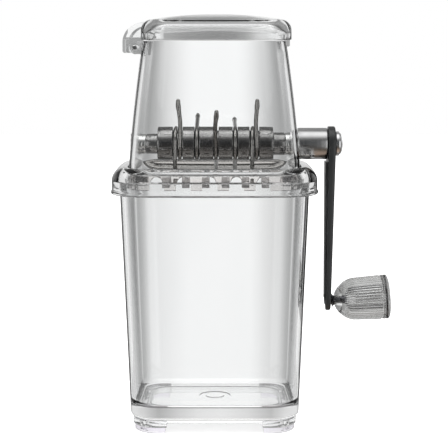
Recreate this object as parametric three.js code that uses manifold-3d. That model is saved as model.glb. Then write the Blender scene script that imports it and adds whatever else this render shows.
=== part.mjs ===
// Hand-crank ice crusher: a clear container, a hopper that lifts off it on its collar, a hinged lid, and a
// crank that turns a shaft with five double-ended wire claws past a fixed comb. Millimetres, +Z up, the crank
// on the +X side.
import * as THREE from "three";
import { mergeVertices } from "three/addons/utils/BufferGeometryUtils.js";
import Module from "manifold-3d";

const wasm = await Module();
wasm.setup();

// Driving dimensions
const GAP = 0.3; // clearance between touching pieces
const WALL = 3; // moulded wall

// Container: half width (X), half depth (Y) and corner radius at its foot and at its rim
const CUP_FOOT = { hx: 51, hy: 38, r: 17 };
const CUP_RIM = { hx: 56.7, hy: 43.7, r: 19 };
const CUP_BOTTOM = 8;
const CUP_TOP = 153;
const CUP_EDGE = 3.2; // radius where the sides meet the bottom
const CUP_FLOOR = 15.5;
const FLOOR_FILLET = 6;
const PLINTH_BOTTOM = 4;
const PLINTH_INSET = 4.5;
const MARK_RADIUS = 9; // moulded ring on the floor
const MARK_WIDTH = 2.4;
const MARK_HEIGHT = 0.5;

// Feet
const FOOT_INSET = 1;
const FOOT_DEPTH = 8;
const FOOT_REACH = { x: 28, y: 19 }; // feet lie beyond these distances from the middle
const PAD_HEIGHT = 3.7;
const PAD_INSET = 0.8;

// Collar
const COLLAR = { hx: 61.2, hy: 47.6, r: 22 };
const COLLAR_BOTTOM = 145;
const COLLAR_TOP = 161.6;
const COLLAR_LIP = 0.6;
const COLLAR_SHOULDER = 7.2;
const SOCKET_TOP = CUP_TOP + 0.4;
const COMB_CEILING = 156.4;
const LEDGE_TOP = 158.4;
const LEDGE = { hx: 47.4, hy: 35.8, r: 13 };

// Hopper
const HOPPER_BOTTOM = LEDGE_TOP + GAP;
const HOPPER_TOP = 236.4;
const HOPPER_LOW = { hx: 51.2, hy: 40.2, r: 17 };
const HOPPER_HIGH = { hx: 42.4, hy: 33, r: 14 };
const HOPPER_BOW = 0.7; // how far the side bows out half way up

// Lid
const LID_BOTTOM = HOPPER_TOP + 0.6;
const LID_TOP = 253;
const LID = { left: -43.4, right: 45.6, hy: 34.6, r: 13 };
const LID_CROWN = 5; // rise of the dome above the rounded upper edge
const LID_EDGE = { inwards: 8, down: 4.4 };
// The dome's rounds: how far out from the middle, and how much of the rise is reached there
const LID_DOME = [
  { out: 0.72, risen: 0.42 },
  { out: 0.42, risen: 0.8 },
  { out: 0.12, risen: 1 },
];
const LID_WALL = 2.8;
const TAB = { bottom: 233.4, hy: 11, inner: 43.2 };
const BLOCK = { left: -55.4, bottom: 229.6, shoulder: 237.4, top: 246.4, rise: 1.8, hy: 17, chamfer: 1 };
const HINGE = { x: -48.2, z: 232.8, pin: 1.4, knuckle: 4, hy: 8.6 };

// Crank
const AXIS = 174;
const JOURNAL = 4; // radius of the shaft inside its bushes, hub and arm
const FIT = 0.35; // radial clearance on the journals
const SHAFT_LEFT = { start: -42.7, r: 6.25 };
const SHAFT_RIGHT = { end: 43.9, r: 7.05 };
const BUSH_LEFT = { from: -51.8, to: -43, r: 6.25, chamfer: 0.9 };
const BUSH_RIGHT = { from: 44.2, to: 50.5, r: 7.05, chamfer: 0.3 };
const ROLLER = { from: -35.2, to: 36.2, r: 10.5, core: 5.8 };
const HUB = { from: 50.9, to: 69.4, r: 9.75 };
const ARM = { from: 69.7, to: 74.3, eye: 10.7, foot: 6.2, rib: 1.6, lean: 1.9, length: 98.2 };
const CAP_NUT = { from: 74.6, to: 79.1, r: 7.6 };

// Claws: a rod bent round the roller, with a straight tine at each end. Each has its place along the shaft,
// the directions of its two tips, in degrees from upright, + towards the back, and its coil's shift along the
// shaft.
const CLAW = { rod: 1.3, wrap: 9.6, tip: 28.2 };
const CLAWS = [
  { x: -22.8, up: -19.9, down: -520.1, pitch: 2.9 },
  { x: -11, up: 54, down: -288, pitch: 0 },
  { x: 0.8, up: -44, down: -240, pitch: 0 },
  { x: 12.6, up: 60, down: -234, pitch: 0 },
  { x: 24.4, up: -19.9, down: -520.1, pitch: 2.9 },
];

// Comb
const COMB = { hx: 52.8, hy: 39.8, r: 15.5, bottom: 148, wall: 3 };
const TOOTH = { width: 4.4, tip: 13.8, slope: 3, heel: 1.2, foot: 1.6, step: 3.4 };
const ARCH = { width: 9, pitch: 15.7, first: -34, count: 5, spring: 151 };
const LUG = { from: 40.6, to: 51, front: -21.4, back: -14 };
const SCREW = { x: 45.4, z: 152, r: 2, head: 3.6, headHeight: 2.4, nut: 7, nutHeight: 3 };

// Knob, on a spindle that is canted up and out
const KNOB_CANT = 4; // degrees
const KNOB = { start: 2.4, length: 36.8, nose: 3.4, r: 14.1, flare: 1.3, wall: 2.4, boss: 5 };
const KNOB_CAP = { depth: 3.8, face: 4 };
const RECESS = { length: 4.4, width: 1, depth: 1.2 };
const SPINDLE = { r: 2.5, collar: 3.4, head: 4, sunk: 1.9 };

// The object's two ends along X: the collar's lip and the face of the knob's end cap
const CANT = THREE.MathUtils.degToRad(KNOB_CANT);
const LEFT_REACH = COLLAR.hx + COLLAR_LIP;
const RIGHT_REACH =
  ARM.to - ARM.lean + KNOB.length * Math.cos(CANT) + (KNOB.r - KNOB_CAP.face) * Math.sin(CANT);
const CENTRE_X = (RIGHT_REACH - LEFT_REACH) / 2;

const ROUND = 24; // sides of the turned pieces
const CORNER = 5; // steps round each corner of a moulded outline
const EPS = 1; // how far a cutter runs past a face

// ---------------------------------------------------------------------------------------------- solids

function solidOf(geometry) {
  const plain = geometry.index ? geometry.toNonIndexed() : geometry.clone();
  plain.deleteAttribute("normal");
  plain.deleteAttribute("uv");
  const merged = mergeVertices(plain, 1e-3);
  return new wasm.Manifold(
    new wasm.Mesh({
      numProp: 3,
      vertProperties: merged.attributes.position.array,
      triVerts: new Uint32Array(merged.index.array),
    }),
  );
}

function geometryOf(solid) {
  const mesh = solid.getMesh();
  const points = new Float32Array(mesh.numVert * 3);
  for (let i = 0; i < mesh.numVert; i += 1) {
    points.set(mesh.vertProperties.subarray(i * mesh.numProp, i * mesh.numProp + 3), i * 3);
  }
  const geometry = new THREE.BufferGeometry();
  geometry.setAttribute("position", new THREE.BufferAttribute(points, 3));
  geometry.setIndex(new THREE.BufferAttribute(mesh.triVerts, 1));
  geometry.computeVertexNormals();
  return geometry;
}

function box(x0, x1, y0, y1, z0, z1) {
  const geometry = new THREE.BoxGeometry(x1 - x0, y1 - y0, z1 - z0);
  geometry.translate((x0 + x1) / 2, (y0 + y1) / 2, (z0 + z1) / 2);
  return solidOf(geometry);
}

// One round of a rounded rectangle, counter-clockwise from above, centred on cx.
function outline({ hx, hy, r, cx = 0 }, z) {
  const points = [];
  for (let corner = 0; corner < 4; corner += 1) {
    const sx = corner === 0 || corner === 3 ? 1 : -1;
    const sy = corner < 2 ? 1 : -1;
    for (let i = 0; i <= CORNER; i += 1) {
      const angle = ((corner + i / CORNER) * Math.PI) / 2;
      points.push([
        cx + sx * (hx - r) + r * Math.cos(angle),
        sy * (hy - r) + r * Math.sin(angle),
        z,
      ]);
    }
  }
  return points;
}

// A closed solid through rounds of equal length, from the lowest to the highest, with flat ends.
function loft(rounds) {
  const count = rounds[0].length;
  const points = rounds.flat();
  const faces = [];
  for (let level = 0; level + 1 < rounds.length; level += 1) {
    for (let i = 0; i < count; i += 1) {
      const a = level * count + i;
      const b = level * count + ((i + 1) % count);
      faces.push(a, b, b + count, a, b + count, a + count);
    }
  }
  const top = (rounds.length - 1) * count;
  for (let i = 1; i + 1 < count; i += 1) {
    faces.push(0, i + 1, i, top, top + i, top + i + 1);
  }
  const geometry = new THREE.BufferGeometry();
  geometry.setAttribute("position", new THREE.Float32BufferAttribute(points.flat(), 3));
  geometry.setIndex(faces);
  return solidOf(geometry);
}

// The same outline made larger by a distance all round.
function grown(shape, by) {
  return { ...shape, hx: shape.hx + by, hy: shape.hy + by, r: shape.r + by };
}

function between(low, high, t) {
  return {
    hx: low.hx + (high.hx - low.hx) * t,
    hy: low.hy + (high.hy - low.hy) * t,
    r: low.r + (high.r - low.r) * t,
  };
}

function prism(shape, z0, z1) {
  return loft([outline(shape, z0), outline(shape, z1)]);
}

// A body turned about the X axis, from [x, radius] points that start and end on the axis or close on
// themselves.
function turned(profile, sides = ROUND) {
  const points = profile.map(([x, radius]) => new THREE.Vector2(radius, x));
  const geometry = new THREE.LatheGeometry(points, sides);
  geometry.rotateZ(-Math.PI / 2);
  return solidOf(geometry);
}

function sleeve(from, to, outer, inner, chamfer = 0.5) {
  return turned([
    [from, inner],
    [from, outer - chamfer],
    [from + chamfer, outer],
    [to - chamfer, outer],
    [to, outer - chamfer],
    [to, inner],
    [from, inner],
  ]);
}

// ------------------------------------------------------------------------------------------- container

function cupOutline(z) {
  return between(CUP_FOOT, CUP_RIM, (z - CUP_BOTTOM) / (CUP_TOP - CUP_BOTTOM));
}

function roundedFoot(shapeAt, bottom, radius, steps) {
  const rounds = [];
  for (let i = 0; i <= steps; i += 1) {
    const angle = ((i / steps) * Math.PI) / 2;
    const z = bottom + radius * (1 - Math.cos(angle));
    rounds.push(outline(grown(shapeAt(z), radius * (Math.sin(angle) - 1)), z));
  }
  return rounds;
}

function footRing(inset, z0, z1) {
  const outer = prism(grown(CUP_FOOT, -inset), z0, z1);
  const inner = prism(grown(CUP_FOOT, inset - FOOT_INSET * 2 - FOOT_DEPTH), z0 - EPS, z1 + EPS);
  return outer.subtract(inner);
}

function footCorner(ring, sx, sy, inset) {
  const far = CUP_FOOT.hx + EPS;
  const nearX = FOOT_REACH.x + inset;
  const nearY = FOOT_REACH.y + inset;
  const xs = [sx * nearX, sx * far].sort((a, b) => a - b);
  const ys = [sy * nearY, sy * far].sort((a, b) => a - b);
  return ring.intersect(box(xs[0], xs[1], ys[0], ys[1], -EPS, CUP_BOTTOM * 2));
}

const CORNERS = [
  { name: "front_left", sx: -1, sy: -1 },
  { name: "front_right", sx: 1, sy: -1 },
  { name: "rear_left", sx: -1, sy: 1 },
  { name: "rear_right", sx: 1, sy: 1 },
];

function containerCup() {
  const body = loft([
    ...roundedFoot(cupOutline, CUP_BOTTOM, CUP_EDGE, 3),
    outline(cupOutline(CUP_TOP), CUP_TOP),
  ]);
  const inside = (z) => grown(cupOutline(z), -WALL);
  const hollow = loft([
    ...roundedFoot(inside, CUP_FLOOR, FLOOR_FILLET, 3),
    outline(inside(CUP_TOP + EPS), CUP_TOP + EPS),
  ]);
  const plinth = grown(CUP_FOOT, -PLINTH_INSET);
  const skirt = prism(plinth, PLINTH_BOTTOM, CUP_BOTTOM + EPS).subtract(
    prism(grown(plinth, -WALL), PLINTH_BOTTOM - EPS, CUP_BOTTOM),
  );
  const mark = sleeve(
    CUP_FLOOR - EPS,
    CUP_FLOOR + MARK_HEIGHT,
    MARK_RADIUS,
    MARK_RADIUS - MARK_WIDTH,
    0.2,
  ).rotate([0, -90, 0]);
  const feet = footRing(FOOT_INSET, PAD_HEIGHT, CUP_BOTTOM + EPS);
  let cup = body.add(skirt).subtract(hollow).add(mark);
  for (const { sx, sy } of CORNERS) {
    cup = cup.add(footCorner(feet, sx, sy, 0));
  }
  return cup;
}

function footPad({ sx, sy }) {
  const ring = footRing(FOOT_INSET + PAD_INSET, 0, PAD_HEIGHT - GAP);
  return footCorner(ring, sx, sy, PAD_INSET);
}

// ---------------------------------------------------------------------------------------------- collar

function collarRing() {
  const rounds = [
    outline(grown(COLLAR, -2.6), COLLAR_BOTTOM),
    outline(grown(COLLAR, COLLAR_LIP - 0.6), COLLAR_BOTTOM + 0.8),
    outline(grown(COLLAR, COLLAR_LIP), COLLAR_BOTTOM + 1.5),
    outline(grown(COLLAR, COLLAR_LIP), COLLAR_BOTTOM + 2.4),
    outline(COLLAR, COLLAR_BOTTOM + 3),
  ];
  const steps = 6;
  for (let i = 0; i <= steps; i += 1) {
    const angle = ((i / steps) * Math.PI) / 2;
    const inward = COLLAR_SHOULDER * (1 - Math.cos(angle));
    const z = COLLAR_TOP - COLLAR_SHOULDER * (1 - Math.sin(angle));
    rounds.push(outline(grown(COLLAR, -inward), z));
  }
  const socket = prism(grown(CUP_RIM, 0.6), COLLAR_BOTTOM - EPS, SOCKET_TOP);
  const combRoom = prism(grown(COMB, 0.4), SOCKET_TOP - EPS, COMB_CEILING);
  const ledge = prism(LEDGE, COMB_CEILING - EPS, COLLAR_TOP);
  const seat = prism(grown(HOPPER_LOW, 0.4), LEDGE_TOP, COLLAR_TOP + EPS);
  return loft(rounds).subtract(socket).subtract(combRoom).subtract(ledge).subtract(seat);
}

// -------------------------------------------------------------------------------------------- hopper

function hopperOutline(z) {
  const t = (z - HOPPER_BOTTOM) / (HOPPER_TOP - HOPPER_BOTTOM);
  return grown(between(HOPPER_LOW, HOPPER_HIGH, t), HOPPER_BOW * 4 * t * (1 - t));
}

function hopperRounds(by, z0, z1) {
  const steps = 4;
  return Array.from({ length: steps + 1 }, (_, i) => {
    const z = z0 + ((z1 - z0) * i) / steps;
    return outline(grown(hopperOutline(z), by), z);
  });
}

function acrossY(x, z, radius, y0, y1, sides = 16) {
  return turned(
    [
      [y0, 0],
      [y0, radius],
      [y1, radius],
      [y1, 0],
    ],
    sides,
  )
    .rotate([0, 0, 90])
    .translate([x, 0, z]);
}

function hopperShell() {
  const shell = loft(hopperRounds(0, HOPPER_BOTTOM, HOPPER_TOP)).subtract(
    loft(hopperRounds(-WALL, HOPPER_BOTTOM - EPS, HOPPER_TOP + EPS)),
  );
  const leftHole = sleeve(-60, -30, BUSH_LEFT.r + GAP, 0, 0).translate([0, 0, AXIS]);
  const rightHole = sleeve(30, 60, BUSH_RIGHT.r + GAP, 0, 0).translate([0, 0, AXIS]);
  const wallAtHinge = -hopperOutline(HINGE.z).hx + WALL / 2;
  const lug = acrossY(HINGE.x, HINGE.z, HINGE.knuckle, -HINGE.hy, HINGE.hy).add(
    box(HINGE.x, wallAtHinge, -HINGE.hy, HINGE.hy, HINGE.z - HINGE.knuckle, HINGE.z + 2),
  );
  const bore = acrossY(HINGE.x, HINGE.z, HINGE.pin + GAP, -HINGE.hy - EPS, HINGE.hy + EPS);
  return shell.add(lug).subtract(leftHole).subtract(rightHole).subtract(bore);
}

// ------------------------------------------------------------------------------------------------ lid

// The cap's rounds at an inset from its outside: an upright skirt, the rounded upper edge and the dome.
function lidRounds(inset, z0, z1) {
  const base = {
    hx: (LID.right - LID.left) / 2 - inset,
    hy: LID.hy - inset,
    r: LID.r - inset,
    cx: (LID.left + LID.right) / 2,
  };
  const rounds = [outline(base, z0)];
  const steps = 4;
  for (let i = 0; i <= steps; i += 1) {
    const angle = ((i / steps) * Math.PI) / 2;
    const z = z1 - LID_CROWN - LID_EDGE.down * (1 - Math.sin(angle));
    rounds.push(outline(grown(base, -LID_EDGE.inwards * (1 - Math.cos(angle))), z));
  }
  const top = grown(base, -LID_EDGE.inwards);
  for (const { out, risen } of LID_DOME) {
    const smaller = { ...top, hx: top.hx * out, hy: top.hy * out, r: top.r * out };
    rounds.push(outline(smaller, z1 - LID_CROWN * (1 - risen)));
  }
  return rounds;
}

function hingeBlock() {
  const { left, bottom, shoulder, top, rise, hy, chamfer } = BLOCK;
  const right = LID.left + WALL;
  const shape = new THREE.Shape();
  shape.moveTo(right, top + rise);
  shape.quadraticCurveTo(left, top, left, shoulder);
  shape.lineTo(left, bottom + chamfer);
  shape.lineTo(left + chamfer, bottom);
  shape.lineTo(HINGE.x + HINGE.knuckle, bottom);
  shape.lineTo(HINGE.x + HINGE.knuckle, LID_BOTTOM);
  shape.lineTo(right, LID_BOTTOM);
  shape.closePath();
  const geometry = new THREE.ExtrudeGeometry(shape, {
    depth: 2 * hy,
    bevelEnabled: false,
    curveSegments: 6,
  });
  geometry.rotateX(Math.PI / 2);
  geometry.translate(0, hy, 0);
  return solidOf(geometry);
}

function lidShell() {
  const cap = loft(lidRounds(0, LID_BOTTOM, LID_TOP));
  const hollow = loft(lidRounds(LID_WALL, LID_BOTTOM - EPS, LID_TOP - LID_WALL));
  const tab = box(TAB.inner, LID.right, -TAB.hy, TAB.hy, TAB.bottom, LID_BOTTOM + WALL);
  const tabRoom = box(0, TAB.inner, -TAB.hy - EPS, TAB.hy + EPS, TAB.bottom - EPS, LID_BOTTOM);
  const slotHalf = HINGE.hy + GAP;
  const slotTop = HINGE.z + HINGE.knuckle + EPS;
  const slot = box(BLOCK.left - EPS, LID.left + WALL, -slotHalf, slotHalf, BLOCK.bottom - EPS, slotTop);
  const bore = acrossY(HINGE.x, HINGE.z, HINGE.pin + GAP, -BLOCK.hy - EPS, BLOCK.hy + EPS);
  return cap
    .add(hingeBlock())
    .subtract(hollow)
    .add(tab)
    .subtract(tabRoom)
    .subtract(slot)
    .subtract(bore);
}

function hingePin() {
  const half = BLOCK.hy - 0.6;
  return acrossY(HINGE.x, HINGE.z, HINGE.pin, -half, half);
}

// ----------------------------------------------------------------------------------------------- comb

function archCutter(x) {
  const half = ARCH.width / 2;
  const shape = new THREE.Shape();
  shape.moveTo(-half, COMB.bottom - EPS);
  shape.lineTo(half, COMB.bottom - EPS);
  shape.lineTo(half, ARCH.spring);
  shape.absarc(0, ARCH.spring, half, 0, Math.PI, false);
  shape.closePath();
  const geometry = new THREE.ExtrudeGeometry(shape, {
    depth: 2 * (COMB.hy + EPS),
    bevelEnabled: false,
    curveSegments: 8,
  });
  geometry.rotateX(Math.PI / 2);
  geometry.translate(x, COMB.hy + EPS, 0);
  return solidOf(geometry);
}

// A tooth on the comb's front wall (side -1) or back wall (side 1), reaching in towards the shaft.
function tooth(x, side) {
  const { width, slope, heel, foot, step } = TOOTH;
  const root = side * (COMB.hy - COMB.wall / 2);
  const tip = side * TOOTH.tip;
  const top = COMB_CEILING - GAP;
  const shape = new THREE.Shape();
  shape.moveTo(root, top);
  shape.lineTo(tip + side * slope, top - 1);
  shape.quadraticCurveTo(tip, top - 2, tip, COMB.bottom + step);
  shape.lineTo(tip + side * heel, COMB.bottom + foot);
  shape.lineTo(root, COMB.bottom + foot);
  shape.closePath();
  const geometry = new THREE.ExtrudeGeometry(shape, {
    depth: width,
    bevelEnabled: false,
    curveSegments: 4,
  });
  geometry.rotateX(Math.PI / 2);
  geometry.rotateZ(Math.PI / 2);
  geometry.translate(x - width / 2, 0, 0);
  return solidOf(geometry);
}

function breakerComb() {
  let comb = prism(COMB, COMB.bottom, COMB_CEILING - GAP).subtract(
    prism(grown(COMB, -COMB.wall), COMB.bottom - EPS, COMB_CEILING),
  );
  for (let i = 0; i < ARCH.count; i += 1) {
    comb = comb.subtract(archCutter(ARCH.first + i * ARCH.pitch));
  }
  const spacing = CLAWS[1].x - CLAWS[0].x;
  for (let i = 0; i <= CLAWS.length; i += 1) {
    const x = CLAWS[0].x + (i - 0.5) * spacing;
    comb = comb.add(tooth(x, -1)).add(tooth(x, 1));
  }
  for (const side of [-1, 1]) {
    const xs = [side * LUG.from, side * LUG.to].sort((a, b) => a - b);
    const lug = box(xs[0], xs[1], LUG.front, LUG.back, COMB.bottom + 0.4, COMB_CEILING - GAP);
    const bore = acrossY(side * SCREW.x, SCREW.z, SCREW.r + GAP, LUG.front - EPS, LUG.back + EPS);
    comb = comb.add(lug).subtract(bore);
  }
  return comb;
}

// A cross-head screw along X, its head's seat at 0 and its head on the + side.
function crossHeadScrew(length) {
  const { r, head, headHeight } = SCREW;
  const body = turned(
    [
      [-length, 0],
      [-length, r],
      [0, r],
      [0, head],
      [headHeight * 0.55, head],
      [headHeight, head * 0.66],
      [headHeight, 0],
    ],
    20,
  );
  const deep = headHeight - RECESS.depth;
  const half = RECESS.length / 2;
  const thin = RECESS.width / 2;
  return body
    .subtract(box(deep, headHeight + EPS, -half, half, -thin, thin))
    .subtract(box(deep, headHeight + EPS, -thin, thin, -half, half));
}

// facing is -1 for a screw whose head is in front, 1 for one whose head is behind.
function combScrew(x, facing) {
  const seat = (facing < 0 ? LUG.front : LUG.back) + facing * GAP;
  const length = LUG.back - LUG.front + SCREW.nutHeight + 4 * GAP;
  return crossHeadScrew(length)
    .rotate([45, 0, facing * 90])
    .translate([x, seat, SCREW.z]);
}

function combNut(x, facing) {
  const from = facing < 0 ? LUG.front - GAP - SCREW.nutHeight : LUG.back + GAP;
  const half = SCREW.nut / 2;
  const body = box(x - half, x + half, from, from + SCREW.nutHeight, SCREW.z - half, SCREW.z + half);
  const bore = acrossY(x, SCREW.z, SCREW.r + GAP, from - EPS, from + SCREW.nutHeight + EPS);
  return body.subtract(bore);
}

// ---------------------------------------------------------------------------------------------- crank

function driveShaft() {
  const { r: left, start } = SHAFT_LEFT;
  const { r: right, end } = SHAFT_RIGHT;
  return turned([
    [BUSH_LEFT.from + 0.6, 0],
    [BUSH_LEFT.from + 0.6, JOURNAL],
    [start, JOURNAL],
    [start, left],
    [ROLLER.from - GAP, left],
    [ROLLER.from - GAP, ROLLER.core - GAP],
    [ROLLER.to + GAP, ROLLER.core - GAP],
    [ROLLER.to + GAP, right],
    [end, right],
    [end, JOURNAL],
    [CAP_NUT.from + 2.4, JOURNAL],
    [CAP_NUT.from + 2.4, 0],
  ]).translate([0, 0, AXIS]);
}

function rollerSleeve() {
  const { from, to, r, core } = ROLLER;
  const chamfer = 0.8;
  const bottom = CLAW.wrap - CLAW.rod - GAP;
  const profile = [
    [from, core],
    [from, r - chamfer],
    [from + chamfer, r],
  ];
  for (const { x, pitch } of CLAWS) {
    const half = pitch / 2 + CLAW.rod + 2 * GAP;
    profile.push([x - half, r], [x - half, bottom], [x + half, bottom], [x + half, r]);
  }
  profile.push([to - chamfer, r], [to, r - chamfer], [to, core], [from, core]);
  return turned(profile).translate([0, 0, AXIS]);
}

// The claw's centre line: in along its upper tine, round the roller, and out along its lower tine.
class ClawLine extends THREE.Curve {
  constructor(up, down, pitch) {
    super();
    this.tine = Math.sqrt(CLAW.tip ** 2 - CLAW.wrap ** 2);
    const lead = THREE.MathUtils.radToDeg(Math.atan2(this.tine, CLAW.wrap));
    this.start = THREE.MathUtils.degToRad(up - lead);
    this.wound = THREE.MathUtils.degToRad(up - down - 2 * lead);
    this.pitch = pitch;
  }

  getPoint(t, target = new THREE.Vector3()) {
    const coil = this.wound * CLAW.wrap;
    const along = t * (coil + 2 * this.tine) - this.tine;
    const onCoil = THREE.MathUtils.clamp(along, 0, coil);
    const beyond = along - onCoil;
    const angle = this.start - onCoil / CLAW.wrap;
    const y = CLAW.wrap * Math.sin(angle) - beyond * Math.cos(angle);
    const z = CLAW.wrap * Math.cos(angle) + beyond * Math.sin(angle);
    const x = this.pitch * (0.5 - onCoil / coil);
    return target.set(x, y, z);
  }
}

function claw({ x, up, down, pitch }) {
  const sides = 6;
  const section = new THREE.Shape();
  for (let i = 0; i < sides; i += 1) {
    const angle = (i / sides) * 2 * Math.PI;
    const point = [CLAW.rod * Math.cos(angle), CLAW.rod * Math.sin(angle)];
    if (i === 0) {
      section.moveTo(...point);
    } else {
      section.lineTo(...point);
    }
  }
  section.closePath();
  const geometry = new THREE.ExtrudeGeometry(section, {
    steps: 48,
    bevelEnabled: false,
    extrudePath: new ClawLine(up, down, pitch),
  });
  return solidOf(geometry).translate([x, 0, AXIS]);
}

function bush({ from, to, r, chamfer }) {
  return sleeve(from, to, r, JOURNAL + FIT, chamfer).translate([0, 0, AXIS]);
}

function crankHub() {
  return sleeve(HUB.from, HUB.to, HUB.r, JOURNAL + FIT, 1).translate([0, 0, AXIS]);
}

// A tapered link with round ends in the YZ plane, between the shaft's axis and the knob's.
function link(eye, foot, x0, x1) {
  const tilt = Math.asin((eye - foot) / ARM.length);
  const shape = new THREE.Shape();
  shape.absarc(0, 0, eye, tilt, Math.PI - tilt, false);
  shape.absarc(0, -ARM.length, foot, Math.PI - tilt, 2 * Math.PI + tilt, false);
  shape.closePath();
  const depth = x1 - x0;
  const geometry = new THREE.ExtrudeGeometry(shape, {
    depth,
    bevelEnabled: false,
    curveSegments: 16,
  });
  geometry.rotateX(Math.PI / 2);
  geometry.rotateZ(Math.PI / 2);
  geometry.translate(x0, 0, 0);
  return solidOf(geometry);
}

// The arm's inner face is upright. Its outer face draws in below the shaft.
function crankArm() {
  const inner = ARM.from - ARM.rib;
  const plate = link(ARM.eye, ARM.foot, ARM.from, ARM.to);
  const rib = link(ARM.eye - 3, ARM.foot - 2, inner, ARM.from + ARM.rib);
  const clearOfHub = box(inner - EPS, ARM.from, -20, 20, -HUB.r - 1.2, 20);
  const hole = sleeve(inner - EPS, ARM.to + EPS, JOURNAL + FIT, 0, 0);
  const leaning = plate
    .add(rib.subtract(clearOfHub))
    .warp((v) => {
      const share = (v[0] - inner) / (ARM.to - inner);
      v[0] += (share * ARM.lean * Math.min(v[2], 0)) / ARM.length;
    });
  return leaning.subtract(hole).subtract(spindleBore()).translate([0, 0, AXIS]);
}

function capNut() {
  const { from, to, r } = CAP_NUT;
  const bore = from + 2.8;
  return turned([
    [from, JOURNAL + FIT],
    [from, r - 0.6],
    [from + 0.6, r],
    [from + 2, r],
    [from + 3.2, r * 0.9],
    [to - 0.4, r * 0.62],
    [to, r * 0.3],
    [to, 0],
    [bore, 0],
    [bore, JOURNAL + FIT],
    [from, JOURNAL + FIT],
  ]).translate([0, 0, AXIS]);
}

// ----------------------------------------------------------------------------------------------- knob

// Puts a body turned about X onto the knob's canted axis, x = 0 at the arm's outer face.
function onSpindle(solid) {
  return solid
    .rotate([0, -KNOB_CANT, 0])
    .translate([ARM.to - ARM.lean, 0, -ARM.length]);
}

// Where the arm's inner face meets the knob's axis
const ARM_INNER = ARM.from - ARM.rib - (ARM.to - ARM.lean);

function spindleBore() {
  const { r, head, sunk } = SPINDLE;
  const seat = ARM_INNER + sunk;
  return onSpindle(
    turned([
      [ARM_INNER - EPS, 0],
      [ARM_INNER - EPS, head + GAP],
      [seat, head + GAP],
      [seat, r + GAP],
      [EPS, r + GAP],
      [EPS, 0],
    ]),
  );
}

// A rivet head sunk in the arm's inner face, a flared collar outside it and a pin through the knob.
function knobSpindle() {
  const { r, collar, head, sunk } = SPINDLE;
  const seat = ARM_INNER + sunk - GAP;
  const top = seat - 1.5;
  const end = KNOB.length - KNOB_CAP.depth;
  const profile = [
    [top, 0],
    [top, head * 0.64],
    [top + 0.7, head * 0.92],
    [seat, head],
    [seat, r],
    [2 * GAP, r],
    [2 * GAP, collar + 0.9],
    [KNOB.start - GAP, collar],
    [KNOB.start - GAP, r],
    [end, r],
    [end, 0],
  ];
  return onSpindle(turned(profile)).translate([0, 0, AXIS]);
}

// The knob's outer radius at a distance along its axis from the arm.
function knobRadius(x) {
  const { start, length, nose, r, flare } = KNOB;
  const t = THREE.MathUtils.clamp((x - start) / (length - start), 0, 1);
  const swell = Math.sin((Math.min(t / 0.36, 1) * Math.PI) / 2) ** 0.62;
  return nose + (r - flare - nose) * swell + flare * t;
}

// A hollow grip: a bored boss at the nose, open at the end cap.
function knobGrip() {
  const { start, length, wall, boss } = KNOB;
  const bore = SPINDLE.r + FIT;
  const end = length - KNOB_CAP.depth - GAP;
  const steps = 9;
  const outside = [];
  const inside = [];
  for (let i = 0; i <= steps; i += 1) {
    const share = (i / steps) ** 1.6;
    const x = start + (end - start) * share;
    outside.push([x, knobRadius(x)]);
    const within = start + boss + (end - start - boss) * share;
    inside.unshift([within, Math.max(knobRadius(within - wall / 2) - wall, bore)]);
  }
  const profile = [[start, bore], ...outside, ...inside, [start + boss, bore], [start, bore]];
  return onSpindle(turned(profile)).translate([0, 0, AXIS]);
}

function knobEndCap() {
  const { length, r } = KNOB;
  const from = length - KNOB_CAP.depth;
  return onSpindle(
    turned([
      [from + 1, 0],
      [from + 1, SPINDLE.r + FIT + 0.6],
      [from, SPINDLE.r + FIT + 0.6],
      [from, r - 0.9],
      [from + 0.8, r - 0.2],
      [length - 1.4, r],
      [length - 0.3, r - 1.4],
      [length, r - KNOB_CAP.face],
      [length, 0],
    ]),
  ).translate([0, 0, AXIS]);
}

// ------------------------------------------------------------------------------------------- assembly

function material(color, roughness, metalness, opacity = 1) {
  return new THREE.MeshStandardMaterial({
    color,
    roughness,
    metalness,
    opacity,
    transparent: opacity < 1,
  });
}

const CLEAR = material(0xe9edee, 0.06, 0, 0.35);
const CLEAR_KNOB = material(0xd9dcdc, 0.12, 0, 0.5);
const SOFT_PAD = material(0xdcd8e2, 0.4, 0, 0.6);
const POLISHED = material(0x9a9a98, 0.16, 1);
const BRUSHED = material(0x8f8f8e, 0.32, 1);
const CHROME = material(0xdadbdc, 0.06, 1);
const BLACK = material(0x1c1e1f, 0.42, 0.3);
const DARK_SCREW = material(0x4a4c4e, 0.35, 1);

const crusher = new THREE.Group();
crusher.position.x = -CENTRE_X;

function put(name, solid, look) {
  const mesh = new THREE.Mesh(geometryOf(solid), look);
  mesh.name = name;
  crusher.add(mesh);
}

put("container_cup", containerCup(), CLEAR);
for (const corner of CORNERS) {
  put(`foot_pad_${corner.name}`, footPad(corner), SOFT_PAD);
}
put("collar_ring", collarRing(), CLEAR);
put("hopper_shell", hopperShell(), CLEAR);
put("lid_shell", lidShell(), CLEAR);
put("hinge_pin", hingePin(), BRUSHED);
put("breaker_comb", breakerComb(), CLEAR);
put("comb_screw_left", combScrew(-SCREW.x, -1), DARK_SCREW);
put("comb_nut_left", combNut(-SCREW.x, 1), DARK_SCREW);
put("comb_screw_right", combScrew(SCREW.x, 1), DARK_SCREW);
put("comb_nut_right", combNut(SCREW.x, -1), DARK_SCREW);
put("bearing_bush_left", bush(BUSH_LEFT), POLISHED);
put("bearing_bush_right", bush(BUSH_RIGHT), POLISHED);
put("drive_shaft", driveShaft(), POLISHED);
put("roller_sleeve", rollerSleeve(), POLISHED);
CLAWS.forEach((place, i) => put(`claw_${i + 1}`, claw(place), POLISHED));
put("crank_hub", crankHub(), BRUSHED);
put("crank_arm", crankArm(), BLACK);
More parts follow.
